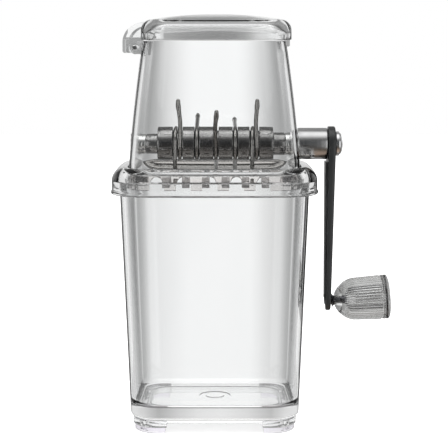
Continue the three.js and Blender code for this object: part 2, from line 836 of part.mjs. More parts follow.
put("cap_nut", capNut(), CHROME);
put("knob_spindle", knobSpindle(), BRUSHED);
put("knob_grip", knobGrip(), CLEAR_KNOB);
put("knob_end_cap", knobEndCap(), CLEAR_KNOB);

export default crusher;
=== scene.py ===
import math
from types import SimpleNamespace

import bmesh
import bpy
from mathutils import Matrix, Vector


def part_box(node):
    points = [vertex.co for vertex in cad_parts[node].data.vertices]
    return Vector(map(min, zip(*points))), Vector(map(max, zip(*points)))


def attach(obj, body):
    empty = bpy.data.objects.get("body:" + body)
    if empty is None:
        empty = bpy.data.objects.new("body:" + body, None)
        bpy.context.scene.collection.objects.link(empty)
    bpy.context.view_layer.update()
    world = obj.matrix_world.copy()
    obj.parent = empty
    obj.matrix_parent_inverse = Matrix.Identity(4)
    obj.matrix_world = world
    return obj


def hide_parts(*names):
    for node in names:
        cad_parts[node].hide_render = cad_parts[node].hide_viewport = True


# Looks of the hand-crank ice crusher. Lengths are in millimetres from the container's upright axis and the
# table, as in the CAD.

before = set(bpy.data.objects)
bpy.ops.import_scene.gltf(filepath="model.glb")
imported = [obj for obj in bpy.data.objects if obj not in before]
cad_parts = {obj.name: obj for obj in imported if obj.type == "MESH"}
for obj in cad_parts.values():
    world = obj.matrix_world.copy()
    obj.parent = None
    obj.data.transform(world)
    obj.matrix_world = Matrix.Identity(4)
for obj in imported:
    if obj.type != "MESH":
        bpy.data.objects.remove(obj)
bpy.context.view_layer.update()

MM = 0.001
CUP_LOW, CUP_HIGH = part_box("container_cup")
AXIS_X = (CUP_LOW.x + CUP_HIGH.x) / 2


class Span:
    """The box of a CAD node, in millimetres from the container's axis."""

    def __init__(self, node):
        low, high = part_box(node)
        self.x0, self.x1 = (low.x - AXIS_X) / MM, (high.x - AXIS_X) / MM
        self.y0, self.y1 = low.y / MM, high.y / MM
        self.z0, self.z1 = low.z / MM, high.z / MM
        self.x, self.y, self.z = (self.x0 + self.x1) / 2, (self.y0 + self.y1) / 2, (self.z0 + self.z1) / 2


CUP = Span("container_cup")
COLLAR = Span("collar_ring")
HOPPER = Span("hopper_shell")
LID = Span("lid_shell")
SHAFT = Span("drive_shaft")
ROLLER = Span("roller_sleeve")
HUB = Span("crank_hub")
NUT = Span("cap_nut")
PIN = Span("hinge_pin")

AIR = 0.06  # gap kept between clear pieces that touch


# ---- meshes


def place(x, y, z):
    return Vector((x * MM + AXIS_X, y * MM, z * MM))


def added(name, data):
    """A new object in the scene."""
    made = bpy.data.objects.new(name, data)
    bpy.context.scene.collection.objects.link(made)
    return made


def mesh_of(name, bm):
    mesh = bpy.data.meshes.new(name)
    bm.to_mesh(mesh)
    bm.free()
    return mesh


def new_piece(name, bm, body, material, nodes, sharp=34):
    """Makes a shown piece from a bmesh, shaded smooth up to the sharp angle, riding on its body."""
    bmesh.ops.recalc_face_normals(bm, faces=bm.faces)
    mesh = mesh_of(name, bm)
    mesh.shade_smooth()
    mesh.set_sharp_from_angle(angle=math.radians(sharp))
    mesh.materials.append(material)
    piece = added(name, mesh)
    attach(piece, body)
    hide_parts(*nodes)


def skin(rounds, closed=False):
    """A bmesh through rounds of equal length.

    Closed joins the last round to the first. Otherwise both ends get a face."""
    bm = bmesh.new()
    rows = [[bm.verts.new(place(*point)) for point in row] for row in rounds]
    count = len(rows[0])
    pairs = list(zip(rows, rows[1:]))
    if closed:
        pairs.append((rows[-1], rows[0]))
    for low, high in pairs:
        for i in range(count):
            j = (i + 1) % count
            bm.faces.new((low[i], low[j], high[j], high[i]))
    if not closed:
        bm.faces.new(rows[0])
        bm.faces.new(rows[-1])
    return bm


def solid_object(bm):
    bmesh.ops.recalc_face_normals(bm, faces=bm.faces)
    return added("solid", mesh_of("solid", bm))


def combined(operation, base, *tools):
    """Joins closed bmeshes to the base, or cuts them from it, and gives the result as a bmesh."""
    target = solid_object(base)
    cutters = [solid_object(tool) for tool in tools]
    for cutter in cutters:
        step = target.modifiers.new("step", "BOOLEAN")
        step.object = cutter
        step.operation = operation
        step.solver = "EXACT"
    result = bpy.data.meshes.new_from_object(target.evaluated_get(bpy.context.evaluated_depsgraph_get()))
    bm = bmesh.new()
    bm.from_mesh(result)
    bpy.data.meshes.remove(result)
    for solid in [target, *cutters]:
        mesh = solid.data
        bpy.data.objects.remove(solid)
        bpy.data.meshes.remove(mesh)
    return bm


def rounded(corners, steps=5, closed=False):
    """A polyline with each (a, b, radius) corner turned into an arc of that radius."""
    points = []
    count = len(corners)
    for i, (a, b, radius) in enumerate(corners):
        here = Vector((a, b))
        if radius == 0 or (not closed and i in (0, count - 1)):
            points.append(tuple(here))
            continue
        before = Vector(corners[i - 1][:2]) - here
        after = Vector(corners[(i + 1) % count][:2]) - here
        half = before.angle(after) / 2
        reach = min(radius / math.tan(half), before.length * 0.49, after.length * 0.49)
        start, end = before.normalized() * reach, after.normalized() * reach
        for k in range(steps + 1):
            t = k / steps
            spot = start * (1 - t) ** 2 + end * t**2
            points.append(tuple(here + spot))
    return points


def quarter_round(offset, top, radius, steps):
    """(offset, z) points from a side up and over to a flat top."""
    points = []
    for i in range(steps + 1):
        angle = i / steps * math.pi / 2
        points.append((offset - radius * (1 - math.cos(angle)), top - radius * (1 - math.sin(angle))))
    return points


CORNER_STEPS, SIDE_STEPS = 14, 10


def outline(hx, hy, r, z, bow=0.0, cx=0.0):
    """One round of a rounded rectangle whose sides bow outwards, counter-clockwise from above."""
    r = max(min(r, hx - 0.01, hy - 0.01), 0.01)
    corners = []
    for quarter in range(4):
        sx = 1 if quarter in (0, 3) else -1
        sy = 1 if quarter < 2 else -1
        for i in range(CORNER_STEPS + 1):
            angle = (quarter + i / CORNER_STEPS) * math.pi / 2
            corners.append((sx * (hx - r) + r * math.cos(angle), sy * (hy - r) + r * math.sin(angle)))
    points = []
    for i, (x, y) in enumerate(corners):
        points.append((x, y))
        if i % (CORNER_STEPS + 1) == CORNER_STEPS:
            nx, ny = corners[(i + 1) % len(corners)]
            for k in range(1, SIDE_STEPS):
                t = k / SIDE_STEPS
                points.append((x + (nx - x) * t, y + (ny - y) * t))
    bowed = []
    for x, y in points:
        out_x = bow * (x / hx) ** 3 * (1 - (y / hy) ** 2)
        out_y = bow * (y / hy) ** 3 * (1 - (x / hx) ** 2)
        bowed.append((cx + x + out_x, y + out_y, z))
    return bowed


def circle_like(points, radius, z):
    """Points on a circle in the same directions from the middle as the given round's points."""
    made = []
    for x, y, _ in points:
        angle = math.atan2(y, x)
        made.append((radius * math.cos(angle), radius * math.sin(angle), z))
    return made


def moulded(profile, outline_at, bow):
    """Rounds for a profile of (inset, z) points, inset from the outline that outline_at(z) gives."""
    rounds = []
    for inset, z in profile:
        hx, hy, r = outline_at(z)
        rounds.append(outline(hx - inset, hy - inset, r - inset, z, bow))
    return rounds


def turned(profile, sides=72, closed=False):
    """A bmesh of a body turned about X from (x, radius) points, round the shaft's axis at z = 0."""
    rounds = []
    for x, radius in profile:
        radius = max(radius, 0.001)
        turns = [2 * math.pi * i / sides for i in range(sides)]
        rounds.append([(x, radius * math.cos(a), radius * math.sin(a)) for a in turns])
    return skin(rounds, closed)


def moved(bm, x=0.0, z=0.0):
    bmesh.ops.translate(bm, vec=Vector((x, 0, z)) * MM, verts=bm.verts)
    return bm


def rotated(bm, degrees, axis):
    turn = Matrix.Rotation(math.radians(degrees), 3, axis)
    bmesh.ops.rotate(bm, cent=place(0, 0, 0), matrix=turn, verts=bm.verts)
    return bm


def across(profile, x, z, sides=40):
    """A bmesh turned about an axis along Y, from (y, radius) points, through x and z."""
    return moved(rotated(turned(profile, sides), 90, "Z"), x=x, z=z)


def slab(points, y0, y1):
    """A bmesh of an (x, z) outline pushed from y0 to y1."""
    near = [(x, y0, z) for x, z in points]
    far = [(x, y1, z) for x, z in points]
    return skin([near, far])


def block(x0, x1, y0, y1, z0, z1):
    return slab([(x0, z0), (x1, z0), (x1, z1), (x0, z1)], y0, y1)


# ---- materials


def colour_ramp(tree, factor, stops):
    """Colours, or greys written as one number, through (position, colour) stops."""
    ramp = tree.nodes.new("ShaderNodeValToRGB")
    elements = ramp.color_ramp.elements
    while len(elements) < len(stops):
        elements.new(0.5)
    for element, (position, colour) in zip(elements, stops):
        element.position = position
        element.color = (*colour, 1) if isinstance(colour, tuple) else (colour, colour, colour, 1)
    tree.links.new(factor, ramp.inputs["Fac"])
    return ramp.outputs["Color"]


class Nodes:
    """A short way to write a material's node tree."""

    def __init__(self, name):
        self.material = bpy.data.materials.new(name)
        self.material.use_nodes = True
        self.tree = self.material.node_tree
        self.shader = self.tree.nodes["Principled BSDF"]
        self.output = self.tree.nodes["Material Output"]
        self.coords = self.add("ShaderNodeTexCoord").outputs["Object"]

    def add(self, kind):
        return self.tree.nodes.new(kind)

    def link(self, source, target):
        self.tree.links.new(source, target)

    def set(self, **values):
        """Sets plain values on the shader: transmission_weight=1 sets Transmission Weight."""
        for key, value in values.items():
            name = "IOR" if key == "ior" else key.replace("_", " ").title()
            self.shader.inputs[name].default_value = value

    def noise(self, scale, detail=3.0, roughness=0.5, stretch=(1, 1, 1), distortion=0.0):
        mapping = self.add("ShaderNodeMapping")
        mapping.inputs["Scale"].default_value = stretch
        self.link(self.coords, mapping.inputs["Vector"])
        noise = self.add("ShaderNodeTexNoise")
        noise.inputs["Scale"].default_value = scale
        noise.inputs["Detail"].default_value = detail
        noise.inputs["Roughness"].default_value = roughness
        noise.inputs["Distortion"].default_value = distortion
        self.link(mapping.outputs["Vector"], noise.inputs["Vector"])
        return noise.outputs["Fac"]

    def tint(self, factor, *stops):
        """Gives the shader a base colour that runs through the stops."""
        self.link(colour_ramp(self.tree, factor, stops), self.shader.inputs["Base Color"])

    def wear(self, factor, low, high):
        """Gives the shader a roughness between low and high."""
        spread = self.add("ShaderNodeMapRange")
        spread.inputs["To Min"].default_value = low
        spread.inputs["To Max"].default_value = high
        self.link(factor, spread.inputs["Value"])
        self.link(spread.outputs["Result"], self.shader.inputs["Roughness"])

    def bump(self, height, distance):
        bump = self.add("ShaderNodeBump")
        bump.inputs["Distance"].default_value = distance
        self.link(height, bump.inputs["Height"])
        self.link(bump.outputs["Normal"], self.shader.inputs["Normal"])


def clear_plastic(name, tint_low, tint_high, roughness=0.02, wave=0.00002, ior=1.5, streak=(1, 1, 0.6)):
    """Clear moulded plastic: faint flow streaks in its tint and a slight wave in its surface."""
    n = Nodes(name)
    n.set(transmission_weight=1.0, ior=ior)
    flow = n.noise(18, detail=2, stretch=(1, 1, 0.35), distortion=0.6)
    n.tint(flow, (0.3, tint_low), (0.7, tint_high))
    n.wear(n.noise(140, detail=4), roughness * 0.4, roughness * 1.6)
    n.bump(n.noise(26, detail=1, stretch=streak), wave)
    return n.material


def turned_steel(name, dark, light, roughness, groove=0.000006, lines=900):
    """Steel with fine lines round the X axis, as a lathe or a polishing belt leaves them."""
    n = Nodes(name)
    n.set(metallic=1.0)
    line = n.noise(1.0, detail=5, roughness=0.7, stretch=(lines, 14, 14))
    cloud = n.noise(60, detail=3)
    n.tint(cloud, (0.3, dark), (0.75, light))
    n.wear(line, roughness * 0.6, roughness * 1.5)
    n.bump(line, groove)
    return n.material


def black_coating():
    """Satin black powder coat with a fine grain."""
    n = Nodes("black_coating")
    n.set(coat_weight=0.25, coat_roughness=0.2)
    patch = n.noise(45, detail=4)
    n.tint(patch, (0.3, (0.008, 0.009, 0.009)), (0.8, (0.022, 0.023, 0.024)))
    grain = n.noise(900, detail=3)
    n.wear(grain, 0.26, 0.44)
    n.bump(grain, 0.00001)
    return n.material


CLEAR_TINT = (0.965, 0.972, 0.973), (0.99, 0.993, 0.993)
COMB_TINT = (0.88, 0.85, 0.835), (0.95, 0.93, 0.92)

CLEAR = clear_plastic("clear_plastic", *CLEAR_TINT)
CLEAR_HOPPER = clear_plastic("clear_hopper", *CLEAR_TINT, ior=1.35)
CLEAR_COMB = clear_plastic("clear_comb", *COMB_TINT, wave=0.0003, streak=(9, 9, 1.2))
# The collar gets a darker copy of the clear plastic: a painted shade over the whole collar.
CLEAR_COLLAR = clear_plastic("clear_collar", (0.9, 0.905, 0.905), (0.955, 0.958, 0.958), wave=0.0001)
CLEAR_KNOB = clear_plastic("clear_knob", (0.8, 0.805, 0.8), (0.88, 0.882, 0.877), roughness=0.05)
SOFT_PAD = clear_plastic("soft_pad", (0.86, 0.83, 0.9), (0.93, 0.91, 0.96), roughness=0.12, ior=1.42)
POLISHED = turned_steel("polished_steel", (0.55, 0.55, 0.54), (0.72, 0.72, 0.71), 0.08)
DARK_POLISHED = turned_steel("roller_steel", (0.2, 0.197, 0.194), (0.31, 0.307, 0.303), 0.1)
CLAW_STEEL = turned_steel("claw_steel", (0.22, 0.215, 0.205), (0.36, 0.352, 0.34), 0.12, lines=200)
BRUSHED = turned_steel("brushed_steel", (0.56, 0.56, 0.56), (0.68, 0.68, 0.68), 0.2, groove=0.00001)
CHROME = turned_steel("chrome_nut", (0.8, 0.8, 0.81), (0.9, 0.9, 0.91), 0.05, groove=0.000002)
DARK_STEEL = turned_steel("dark_steel", (0.1, 0.1, 0.11), (0.24, 0.24, 0.25), 0.3)
BLACK = black_coating()


# ---- container

CUP_BODY_BOTTOM = 8
CUP_RIM = CUP.x1, CUP.y1, 19
CUP_FOOT = CUP.x1 - 5.7, CUP.y1 - 5.7, 17
WALL = 3
CUP_FLOOR = 15.5
CUP_BOW = 0.9
MARK = SimpleNamespace(outer=9.5, inner=5.9, depth=0.45, soft=0.35, middle=1.2)
CUP_BOTTOM_R = 12
FOOT_TOP, PAD_TOP = CUP_BODY_BOTTOM - AIR, 3.6
FOOT_FROM_X, FOOT_FROM_Y = 28, 19
FOOT = dict(inset=1.0, depth=8, soft=0.4)
PAD = dict(inset=1.9, depth=6.2, soft=0.5)
SKIRT = SimpleNamespace(outer=5.0, inner=7.4, bottom=4.2, set_back=4.2)


def mix(a, b, t):
    return tuple(p + (q - p) * t for p, q in zip(a, b))


def cup_at(z):
    return mix(CUP_FOOT, CUP_RIM, (z - CUP_BODY_BOTTOM) / (CUP.z1 - CUP_BODY_BOTTOM))


def make_container():
    """The container with the round mark in its floor."""
    outside = rounded(
        [(10, CUP_BODY_BOTTOM, 0), (0, CUP_BODY_BOTTOM, 3.4), (0, CUP.z1, 1.1), (WALL / 2, CUP.z1, 0)],
        steps=8,
    )
    inside = rounded(
        [(WALL / 2, CUP.z1, 0), (WALL, CUP.z1, 1.1), (WALL, CUP_FLOOR, 6), (14, CUP_FLOOR, 0)], steps=10
    )
    rounds = moulded(outside + inside[1:], cup_at, CUP_BOW)
    rim = rounds[-1]
    top, low = CUP_FLOOR, CUP_FLOOR - MARK.depth
    for radius, z in (
        (MARK.outer + MARK.soft, top),
        (MARK.outer, low),
        (MARK.inner, low),
        (MARK.inner - MARK.soft, top),
        (MARK.middle, top),
    ):
        rounds.append(circle_like(rim, radius, z))
    bottom = circle_like(rounds[0], CUP_BOTTOM_R, CUP_BODY_BOTTOM)
    bm = skin([bottom] + rounds)
    new_piece("cup_body", bm, "container", CLEAR, ["container_cup"])


def foot_section(sx, sy, z0, z1, inset, depth, soft):
    """A corner block that follows the container's rounded corner, from z0 up to z1."""
    hx, hy, r = CUP_FOOT
    steps = 14
    arc = []
    reach_x, reach_y = FOOT_FROM_X + inset, FOOT_FROM_Y + inset
    for edge, turn in ((inset, 1), (inset + depth, -1)):
        x1, y1, radius = hx - edge, hy - edge, max(r - edge, 4)
        side = [(x1, reach_y)]
        for k in range(steps + 1):
            angle = k / steps * math.pi / 2
            side.append((x1 - radius + radius * math.cos(angle), y1 - radius + radius * math.sin(angle)))
        side.append((reach_x, y1))
        arc += side[::turn]
    middle = (sum(x for x, _ in arc) / len(arc), sum(y for _, y in arc) / len(arc))

    def level(z, shrink):
        made = []
        for x, y in arc:
            dx, dy = middle[0] - x, middle[1] - y
            far = math.hypot(dx, dy)
            made.append((sx * (x + dx / far * shrink), sy * (y + dy / far * shrink), z))
        return made

    return skin([level(z0, soft), level(z0 + soft, 0), level(z1 - soft, 0), level(z1, soft)])


def make_feet():
    for end, sy in (("front", -1), ("rear", 1)):
        for side, sx in (("left", -1), ("right", 1)):
            name = f"{end}_{side}"
            upper = foot_section(sx, sy, PAD_TOP + AIR, FOOT_TOP, **FOOT)
            new_piece(f"foot_{name}", upper, "container", CLEAR, ["container_cup"])
            lower = foot_section(sx, sy, 0, PAD_TOP, **PAD)
            new_piece(f"pad_{name}", lower, "container", SOFT_PAD, [f"foot_pad_{name}"])


def make_skirt():
    """The low wall under the container, between the feet."""
    hx, hy, r = CUP_FOOT
    outer, inner, low, back = SKIRT.outer, SKIRT.inner, SKIRT.bottom, SKIRT.set_back
    profile = rounded(
        [(outer, FOOT_TOP, 0.2), (outer, low, 0.8), (inner, low, 0.8), (inner, FOOT_TOP, 0.2)],
        steps=3,
        closed=True,
    )
    rounds = [outline(hx - inset - back, hy - inset - back, r - inset, z, CUP_BOW) for inset, z in profile]
    new_piece("cup_skirt", skin(rounds, closed=True), "container", CLEAR, ["container_cup"])


# ---- collar

COLLAR_SIDE = COLLAR.x1 - 0.6, COLLAR.y1 - 0.6, 22
COLLAR_LIP = 0.6
SHOULDER = 8
SEAT_Z = 158.4
COMB_CEILING = 156.4
SOCKET_TOP = CUP.z1 + 0.4
HOPPER_LOW = 51.2, 40.2, 17
COMB_ROOM = 53.2, 40.2, 15.9
LEDGE = 47.4, 35.8, 13


def grown(shape, by):
    return tuple(value + by for value in shape)


def make_collar():
    """The collar as rounds up its outside, over its shoulder and down the stepped opening through it."""
    low, high, lip, seat, ceiling = COLLAR.z0, COLLAR.z1, COLLAR_LIP, SEAT_Z, COMB_CEILING
    foot = [(-2.8, low), (-1.2, low + 0.2), (-0.2, low + 0.6), (lip - 0.2, low + 1.0), (lip, low + 1.5)]
    foot += [(lip, low + 2.2), (lip - 0.3, low + 2.7), (0, low + 3.2)]
    mouth = [(1.2, high), (0.3, high - 0.2), (0, high - 0.8), (0, seat + 0.3), (-0.3, seat)]
    bands = [
        (COLLAR_SIDE, foot),
        (COLLAR_SIDE, quarter_round(0, high, SHOULDER, 9)),
        (grown(HOPPER_LOW, 0.35), mouth),
        (LEDGE, [(0.5, seat), (0.1, seat - 0.15), (0, seat - 0.5), (0, ceiling + 0.2), (0.3, ceiling)]),
        (COMB_ROOM, [(-0.3, ceiling), (0, ceiling - 0.3), (0, SOCKET_TOP + 0.2)]),
        (grown(CUP_RIM, 0.5), [(-0.5, SOCKET_TOP), (0, SOCKET_TOP - 0.5), (0, low + 0.5), (0.4, low)]),
    ]
    rounds = []
    for shape, points in bands:
        for offset, z in points:
            hx, hy, r = grown(shape, offset)
            rounds.append(outline(hx, hy, r, z, CUP_BOW))
    new_piece("collar", skin(rounds, closed=True), "hopper", CLEAR_COLLAR, ["collar_ring"])


# ---- hopper

HOPPER_HIGH = 42.4, 33.0, 14
HOPPER_BOW = 0.7
SHAFT_HOLES = ((-56, -40, 6.6), (40, 56, 7.4))
KNUCKLE = SimpleNamespace(x=PIN.x, z=PIN.z, r=4.0, hy=8.5, bore=1.6)


def hopper_at(z):
    t = (z - HOPPER.z0) / (HOPPER.z1 - HOPPER.z0)
    swell = HOPPER_BOW * 4 * t * (1 - t)
    return tuple(value + swell for value in mix(HOPPER_LOW, HOPPER_HIGH, t))


def levels(z0, z1, count):
    return [z0 + (z1 - z0) * i / count for i in range(1, count)]


def make_hopper():
    low, high = HOPPER.z0, HOPPER.z1
    profile = [(0.6, low), (0.15, low + 0.15), (0, low + 0.6)]
    profile += [(0, z) for z in levels(low + 0.6, high - 1, 12)]
    profile += [(0, high - 1), (0.12, high - 0.4), (0.6, high - 0.05)]
    profile += [(WALL - 0.6, high - 0.05), (WALL - 0.12, high - 0.4), (WALL, high - 1)]
    profile += [(WALL, z) for z in levels(high - 1, low + 0.6, 12)]
    profile += [(WALL, low + 0.6), (WALL - 0.15, low + 0.15), (WALL - 0.6, low)]
    holes = [moved(turned([(x0, radius), (x1, radius)]), z=SHAFT.z) for x0, x1, radius in SHAFT_HOLES]
    bm = combined("DIFFERENCE", skin(moulded(profile, hopper_at, CUP_BOW), closed=True), *holes)
    new_piece("hopper", bm, "hopper", CLEAR_HOPPER, ["hopper_shell"])


def make_hinge():
    """The knuckle on the hopper's left wall, and the pin through it."""
    k = KNUCKLE
    wall = -hopper_at(k.z)[0] - CUP_BOW - AIR
    arc = [(k.x + k.r * math.cos(a), k.z + k.r * math.sin(a))
           for a in (math.radians(d) for d in range(75, 286, 10))]
    eye = slab(arc + [(wall, k.z - k.r), (wall, k.z + 2.6)], -k.hy, k.hy)
    bore = across([(-k.hy - 1, k.bore), (k.hy + 1, k.bore)], k.x, k.z)
    bm = combined("DIFFERENCE", eye, bore)
    new_piece("hinge_knuckle", bm, "hopper", CLEAR, ["hopper_shell"])
    r, y = PIN.x1 - PIN.x, PIN.y1
    pin = across([(-y, 0), (-y, r - 0.3), (-y + 0.3, r), (y - 0.3, r), (y, r - 0.3), (y, 0)], PIN.x, PIN.z)
    new_piece("pin", pin, "hopper", BRUSHED, ["hinge_pin"])


# ---- lid

LID_CAP = SimpleNamespace(x0=-43.4, x1=LID.x1, hy=34.6, r=13, bottom=HOPPER.z1 + 0.6, edge=5.2, crown=4.6)
LID_WALL = 2.8
TAB = SimpleNamespace(bottom=233.4, hy=11, inner=LID.x1 - 2.4)
BLOCK = SimpleNamespace(x0=LID.x0, bottom=LID.z0, top=246.4, hy=17, wall=2.6)


def lid_rounds(inset):
    """From the rim up and over to the middle of the top."""
    cx, hx, hy = (LID_CAP.x0 + LID_CAP.x1) / 2, (LID_CAP.x1 - LID_CAP.x0) / 2, LID_CAP.hy
    edge, crown, r = LID_CAP.edge, LID_CAP.crown, LID_CAP.r
    top = LID.z1 - inset
    shoulder = top - crown
    rounds = []
    soft = 0.6 if inset == 0 else -0.6
    for i in range(4):
        angle = i / 3 * math.pi / 2
        within = inset + soft * (1 - math.sin(angle))
        z = LID_CAP.bottom + 0.6 * (1 - math.cos(angle))
        rounds.append(outline(hx - within, hy - within, r - within * 0.6, z, 0.8, cx))
    steps = 10
    for i in range(steps + 1):
        angle = i / steps * math.pi / 2
        within = inset + edge * (1 - math.cos(angle))
        z = shoulder - edge * (1 - math.sin(angle)) + slope(1 - (1 - math.cos(angle)) * edge / hx) * crown
        rounds.append(outline(hx - within, hy - within, max(r - within * 0.6, 5), z, 0.8, cx))
    rim = rounds[-1]
    dome = 14
    for i in range(1, dome + 1):
        share = max(1 - i / dome, 0.01)
        z = shoulder + slope(share * (1 - edge / hx)) * crown
        rounds.append([(cx + (x - cx) * share, y * share, z) for x, y, _ in rim])
    return rounds


def slope(share):
    """Height of the crown, from 0 at the edge to 1 in the middle, at a share of the half width."""
    return 1 - share**2


def block_outline(inset):
    """The hinge block from the front: curved over its top left, square at its foot."""
    b = BLOCK
    left, top, right = b.x0 + inset, b.top - inset, LID_CAP.x0 + 1.4
    points = []
    for i in range(13):
        t = i / 12
        x = right * (1 - t) ** 2 + 2 * (left + 1.5) * t * (1 - t) + left * t * t
        z = (top + 1.9) * (1 - t) ** 2 + 2 * (top + 0.4) * t * (1 - t) + (top - 10) * t * t
        points.append((x, z))
    foot = b.bottom - (1 if inset else 0)
    points += [(left, foot + 0.8), (left + 0.8, foot), (-45.0, foot), (-44.4, foot + 0.6)]
    points += [(-44.4, LID_CAP.bottom + inset), (right, LID_CAP.bottom + inset)]
    return points


def hinge_block():
    b, k = BLOCK, KNUCKLE
    shell = combined(
        "DIFFERENCE",
        slab(block_outline(0), -b.hy, b.hy),
        slab(block_outline(b.wall), -b.hy + b.wall, b.hy - b.wall),
        block(-60, LID_CAP.x0 + 3, -k.hy - 0.4, k.hy + 0.4, b.bottom - 3, k.z + k.r + 1),
    )
    ears = []
    for side in (-1, 1):
        y0, y1 = sorted((side * (k.hy + 0.5), side * (b.hy - 1)))
        ears.append(across([(y0, 3.1), (y1, 3.1)], k.x, k.z))
    shell = combined("UNION", shell, *ears)
    bore = across([(-b.hy - 1, k.bore), (b.hy + 1, k.bore)], k.x, k.z)
    return combined("DIFFERENCE", shell, bore)


def finger_tab():
    t, top = TAB, LID_CAP.bottom + 3
    corners = [(t.inner, t.bottom, 0.9), (LID.x1, t.bottom, 1.4), (LID.x1, top, 0.2), (t.inner, top, 0.2)]
    return slab(rounded(corners, closed=True), -t.hy, t.hy)


def make_lid():
    rounds = lid_rounds(LID_WALL)[::-1] + lid_rounds(0)
    bm = combined("UNION", skin(rounds), hinge_block(), finger_tab())
    new_piece("lid", bm, "lid", CLEAR, ["lid_shell"])


# ---- comb, screws and nuts


def soften(node, width, material):
    """Gives a CAD node that keeps its shape a finish and small rounded edges."""
    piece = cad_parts[node]
    piece.data.materials.clear()
    piece.data.materials.append(material)
    edge = piece.modifiers.new("edge", "BEVEL")
    edge.width = width * MM
    edge.segments = 3
    edge.limit_method = "ANGLE"
    edge.angle_limit = math.radians(40)
    edge.harden_normals = True


# ---- crank


def steel(name, profile, body, slot, material, node, sides=96, closed=False):
    """A steel piece turned about the shaft's axis."""
    bm = moved(turned(profile, sides, closed), z=SHAFT.z)
    new_piece(name, bm, body, material, [node], sharp=28)


def ring_profile(x0, x1, outer, inner, soft=0.4):
    return rounded(
        [(x0, inner, 0.1), (x0, outer, soft), (x1, outer, soft), (x1, inner, 0.1)], steps=4, closed=True
    )


JOURNAL, FIT = 4, 0.3
CLAW = SimpleNamespace(rod=1.3, wrap=9.6, tip=28.2, leaf=0.22)
# Each claw's two tips in degrees from upright, + towards the back, how far its coil shifts along the roller,
# and the sideways bends of its upper tine.
CLAW_TIPS = (
    (-19.9, -520.1, 2.9, ((0.45, 0.35), (1, -0.9))),
    (54, -288, 0.0, ((1, 0.2),)),
    (-44, -240, 0.0, ((0.6, -0.4), (1, 0.4))),
    (60, -234, 0.0, ((1, -0.2),)),
    (-19.9, -520.1, 2.9, ((0.5, -0.7), (1, 0.1))),
)


def make_shaft():
    """The two bushes, and the shaft that turns in them."""
    left, right = Span("bearing_bush_left"), Span("bearing_bush_right")
    r_left, r_right = left.z1 - SHAFT.z, right.z1 - SHAFT.z
    for side, span, radius in (("left", left, r_left), ("right", right, r_right)):
        profile = ring_profile(span.x0, span.x1, radius, JOURNAL + FIT, 0.7)
        node = f"bearing_bush_{side}"
        steel(f"bush_{side}", profile, "hopper", "polished_steel", POLISHED, node, sides=72, closed=True)
    inner_left, inner_right = left.x1 + FIT, right.x0 - FIT
    roller_left, roller_right, core = ROLLER.x0 - FIT, ROLLER.x1 + FIT, 5.4
    corners = [(SHAFT.x0, 0.0, 0), (SHAFT.x0, JOURNAL, 0.5), (inner_left, JOURNAL, 0.1)]
    corners += [(inner_left, r_left, 0.25), (roller_left, r_left, 0.1), (roller_left, core, 0.1)]
    corners += [(roller_right, core, 0.1), (roller_right, r_right, 0.25), (inner_right, r_right, 0.25)]
    corners += [(inner_right, JOURNAL, 0.1), (SHAFT.x1, JOURNAL, 0.5), (SHAFT.x1, 0.0, 0)]
    steel("shaft", rounded(corners, steps=4), "crank", "polished_steel", DARK_POLISHED, "drive_shaft")


def claw_places():
    return [Span(f"claw_{i}").x for i in range(1, 6)]


def make_roller():
    """The roller, with a groove for the coil of each claw."""
    outer, bore = ROLLER.z1 - SHAFT.z, 5.8
    bed = CLAW.wrap - CLAW.rod - 0.15
    corners = [(ROLLER.x0, bore, 0.1), (ROLLER.x0, outer, 0.9)]
    for x, (_, _, pitch, _) in zip(claw_places(), CLAW_TIPS):
        half = pitch / 2 + CLAW.rod + 0.25
        left, right = x - half, x + half
        corners += [(left, outer, 0.3), (left, bed, 0.3), (right, bed, 0.3), (right, outer, 0.3)]
    corners += [(ROLLER.x1, outer, 0.9), (ROLLER.x1, bore, 0.1)]
    profile = rounded(corners, steps=4, closed=True)
    node = "roller_sleeve"
    steel("roller", profile, "crank", "polished_steel", DARK_POLISHED, node, sides=128, closed=True)


def claw_line(up, down, pitch, bends):
    """(point, radius) pairs down the claw's upper tine, round the roller, and out along its lower tine.

    The upper tine bends sideways through (share of the tine from the roller, millimetres) points."""
    wrap, tip, rod = CLAW.wrap, CLAW.tip, CLAW.rod
    tine = math.sqrt(tip**2 - wrap**2)
    lead = math.degrees(math.atan2(tine, wrap))
    wound = math.radians(up - down - 2 * lead)
    start = math.radians(up - lead)
    coil = wound * wrap
    line = []
    steps = 190
    for i in range(steps + 1):
        along = i / steps * (coil + 2 * tine) - tine
        on_coil = min(max(along, 0), coil)
        beyond = along - on_coil
        angle = start - on_coil / wrap
        y = wrap * math.sin(angle) - beyond * math.cos(angle)
        z = wrap * math.cos(angle) + beyond * math.sin(angle)
        ease = (1 - math.cos(math.pi * on_coil / coil)) / 2
        out = max(-beyond / tine, 0)
        x = pitch * (0.5 - ease) + eased(out, bends)
        swell = 1 + CLAW.leaf * max(0, 1 - abs(out - 0.88) / 0.12)
        line.append((Vector((x, y, z)), rod * swell))
    return line


def eased(share, knots):
    """A smooth curve through (share, value) knots that start at (0, 0)."""
    before = (0, 0)
    for knot in knots:
        if share <= knot[0]:
            t = (share - before[0]) / (knot[0] - before[0])
            return before[1] + (knot[1] - before[1]) * (3 * t * t - 2 * t**3)
        before = knot
    return before[1]


